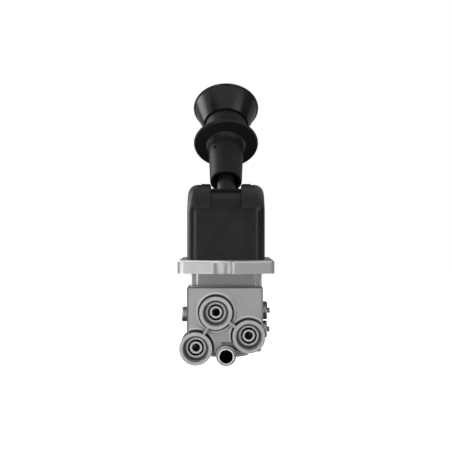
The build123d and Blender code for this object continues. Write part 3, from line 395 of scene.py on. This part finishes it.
for look, names in use.items():
    for name in names:
        mesh = nodes_cad[name].data
        mesh.materials.clear()
        mesh.materials.append(looks[look])


# Springs: they replace the CAD's plain coils and have closed ends

ALONG_LEVER = Vector((0.0, math.sin(LEVER_LEAN), math.cos(LEVER_LEAN)))
COLLAR_SPRING_LOW = LEVER_PIVOT + ALONG_LEVER * 0.0970
COLLAR_SPRING_HIGH = LEVER_PIVOT + ALONG_LEVER * 0.1295
COLLAR_LIFT = 0.0070
TAPPET_PAST_PISTON = 0.00543
INLET_VALVE_TRAVEL = 0.00122
STEPS_PER_TURN = 40
WIRE_SIDES = 14
CLOSED_TURNS = 0.7
CLOSED_PITCH = 2.1
SEAT_GAP = 0.00004


def spring(name, node, body, joint, low, high, wire, radius, turns, shorter, held_low):
    """A coil between low and high; its joint and the length `shorter` are not used."""
    along = (high - low).normalized()
    side = Vector((1.0, 0.0, 0.0))
    front = along.cross(side)
    length = (high - low).length
    rise = length - 2 * (wire + SEAT_GAP)
    shut = CLOSED_PITCH * wire * CLOSED_TURNS
    pitch = (rise - 2 * shut) / (turns - 2 * CLOSED_TURNS)
    mesh = bmesh.new()
    rings = []
    count = round(turns * STEPS_PER_TURN)
    for i in range(count + 1):
        turn = turns * i / count
        if turn < CLOSED_TURNS:
            height = shut * (turn / CLOSED_TURNS)
        elif turn > turns - CLOSED_TURNS:
            height = rise - shut * ((turns - turn) / CLOSED_TURNS)
        else:
            height = shut + pitch * (turn - CLOSED_TURNS)
        angle = 2 * math.pi * turn
        out = side * math.cos(angle) + front * math.sin(angle)
        middle = low + along * (wire + SEAT_GAP + height) + out * radius
        ring = []
        for k in range(WIRE_SIDES):
            a = 2 * math.pi * k / WIRE_SIDES
            ring.append(mesh.verts.new(middle + (out * math.cos(a) + along * math.sin(a)) * wire))
        rings.append(ring)
    for one, two in zip(rings, rings[1:]):
        for k in range(WIRE_SIDES):
            j = (k + 1) % WIRE_SIDES
            mesh.faces.new((one[k], two[k], two[j], one[j])).smooth = True
    mesh.faces.new(rings[0])
    mesh.faces.new(reversed(rings[-1]))
    bmesh.ops.recalc_face_normals(mesh, faces=mesh.faces)
    data = bpy.data.meshes.new(name)
    mesh.to_mesh(data)
    mesh.free()
    data.materials.append(looks["spring"])
    piece = bpy.data.objects.new(name, data)
    scene.collection.objects.link(piece)
    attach(piece, body)
    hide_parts(node)
    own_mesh(piece)
    return piece


def upright(node):
    """The lower and upper end of a spring that stands along Z."""
    low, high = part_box(node)
    return Vector((0.0, 0.0, low[2])), Vector((0.0, 0.0, high[2]))


spring("collar_return_spring", "collar_spring", "lever", "collar_lift", COLLAR_SPRING_LOW, COLLAR_SPRING_HIGH,
       wire=0.0008, radius=0.0094, turns=6, shorter=COLLAR_LIFT, held_low=False)
spring("graduating_coil", "graduating_spring", "tappet", "tappet_slide", *upright("graduating_spring"),
       wire=0.0009, radius=0.0096, turns=4, shorter=TAPPET_PAST_PISTON, held_low=False)
spring("inlet_valve_coil", "valve_spring", "housing", "inlet_valve_slide", *upright("valve_spring"),
       wire=0.00045, radius=0.0056, turns=3, shorter=INLET_VALVE_TRAVEL, held_low=True)


# Studio

def card(name, centre, size, facing, strength):
    """A flat studio card that shows only in the object's reflections."""
    bpy.ops.mesh.primitive_plane_add(size=1.0, location=centre)
    o = bpy.context.object
    o.name = name
    o.scale = (size[0], size[1], 1.0)
    o.rotation_euler = (Vector(facing) - Vector(centre)).to_track_quat("Z", "Y").to_euler()
    m = bpy.data.materials.new(name)
    m.use_nodes = True
    b = m.node_tree.nodes["Principled BSDF"]
    b.inputs["Base Color"].default_value = (0, 0, 0, 1)
    b.inputs["Specular IOR Level"].default_value = 0.0
    b.inputs["Emission Color"].default_value = (1, 1, 1, 1)
    b.inputs["Emission Strength"].default_value = strength
    o.data.materials.append(m)
    o.visible_camera = False
    o.visible_diffuse = False
    o.visible_shadow = False
    return o


def lamp(name, place, target, size, power):
    data = bpy.data.lights.new(name, "AREA")
    data.shape = "RECTANGLE"
    data.size, data.size_y = size
    data.energy = power
    o = bpy.data.objects.new(name, data)
    o.location = place
    o.rotation_euler = (Vector(target) - Vector(place)).to_track_quat("-Z", "Y").to_euler()
    scene.collection.objects.link(o)
    return o


def direct_rays(tree):
    """1 for rays from the camera and in reflections and glass, 0 for the light that falls on the object."""
    path = tree.nodes.new("ShaderNodeLightPath")
    source = path.outputs["Is Camera Ray"]
    for name in ("Is Glossy Ray", "Is Transmission Ray"):
        either = tree.nodes.new("ShaderNodeMath")
        either.operation = "MAXIMUM"
        tree.links.new(source, either.inputs[0])
        tree.links.new(path.outputs[name], either.inputs[1])
        source = either.outputs[0]
    return source


CENTRE = (0.0, 0.0, 0.03)
SOFT_LIGHT = 0.84
FLOOR_Z = -0.30
FLOOR_SIZE = 12.0
FLOOR_GREY = 0.86
FLOOR_GLOW = 0.52

# name, place, size, watts
LAMPS = (
    ("key", (-1.2, 0.95, 0.90), (0.9, 0.9), 5.0),
    ("left_side", (-1.40, 0.60, 0.32), (0.8, 0.8), 7.0),
    ("upper_right", (1.0, -0.95, 0.85), (1.6, 0.6), 6.0),
)
for name, place, size, power in LAMPS:
    lamp(name, place, CENTRE, size, power)

# name, centre, size, the point it faces, strength
CARDS = (
    ("front_card", (0.6, -2.4, 0.1), (4.0, 4.4), CENTRE, 0.15),
    ("front_strip_left", (-0.84, -2.15, 0.1), (0.50, 2.0), CENTRE, 6.5),
    ("front_strip_right", (0.82, -2.25, 0.1), (0.60, 2.0), CENTRE, 3.2),
    ("left_front_card", (-2.0, -1.45, 0.1), (1.9, 4.0), CENTRE, 0.12),
    ("right_card", (2.6, -0.4, 0.1), (4.0, 4.0), CENTRE, 0.06),
    ("back_card", (0.0, 1.7, 0.5), (6.0, 4.6), CENTRE, 0.30),
    ("lower_card", (0.0, 0.3, -0.29), (0.9, 2.6), (0.0, 0.3, 0.0), 0.03),
    ("lower_left_card", (-1.35, -1.3, -0.28), (2.4, 2.2), (-1.35, -1.3, 1.0), 1.6),
    ("lower_right_card", (0.95, -1.35, -0.28), (1.3, 1.7), (0.95, -1.35, 1.0), 0.3),
    ("upper_card", (0.5, 0.3, 1.5), (1.8, 2.4), CENTRE, 0.50),
)
for name, centre, size, facing, strength in CARDS:
    card(name, centre, size, facing, strength)

# The world is plain white to the camera and in reflections, and a little softer as light
world = bpy.data.worlds.new("studio")
scene.world = world
world.use_nodes = True
world_tree = world.node_tree
world_tree.nodes.clear()
output = world_tree.nodes.new("ShaderNodeOutputWorld")
either = world_tree.nodes.new("ShaderNodeMixShader")
backgrounds = []
for strength in (SOFT_LIGHT, 1.0):
    background = world_tree.nodes.new("ShaderNodeBackground")
    background.inputs["Color"].default_value = (1, 1, 1, 1)
    background.inputs["Strength"].default_value = strength
    backgrounds.append(background)
world_tree.links.new(direct_rays(world_tree), either.inputs["Fac"])
world_tree.links.new(backgrounds[0].outputs[0], either.inputs[1])
world_tree.links.new(backgrounds[1].outputs[0], either.inputs[2])
world_tree.links.new(either.outputs[0], output.inputs["Surface"])

bpy.ops.mesh.primitive_plane_add(size=1.0, location=(0.0, 0.0, FLOOR_Z))
floor = bpy.context.object
floor.name = "floor"
floor.scale = (FLOOR_SIZE, FLOOR_SIZE, 1.0)
floor_look = bpy.data.materials.new("pale_floor")
floor_look.use_nodes = True
floor_tree = floor_look.node_tree
floor_bsdf = floor_tree.nodes["Principled BSDF"]
floor_bsdf.inputs["Base Color"].default_value = (FLOOR_GREY, FLOOR_GREY, FLOOR_GREY, 1)
floor_bsdf.inputs["Roughness"].default_value = 0.8
floor_bsdf.inputs["Specular IOR Level"].default_value = 0.0
floor_bsdf.inputs["Emission Color"].default_value = (1, 1, 1, 1)
glow = floor_tree.nodes.new("ShaderNodeMath")
glow.operation = "MULTIPLY"
glow.inputs[1].default_value = FLOOR_GLOW
floor_tree.links.new(direct_rays(floor_tree), glow.inputs[0])
floor_tree.links.new(glow.outputs[0], floor_bsdf.inputs["Emission Strength"])
floor.data.materials.append(floor_look)


# Camera, at the photo's viewing angle

CAMERA_PLACE = (0.0, -0.785, 0.0357)
LENS_MM = 79.65
camera_data = bpy.data.cameras.new("camera")
camera_data.sensor_width = 36.0
camera_data.lens = LENS_MM
camera = bpy.data.objects.new("camera", camera_data)
camera.location = CAMERA_PLACE
camera.rotation_euler = (math.radians(90), 0, 0)
scene.collection.objects.link(camera)
scene.camera = camera
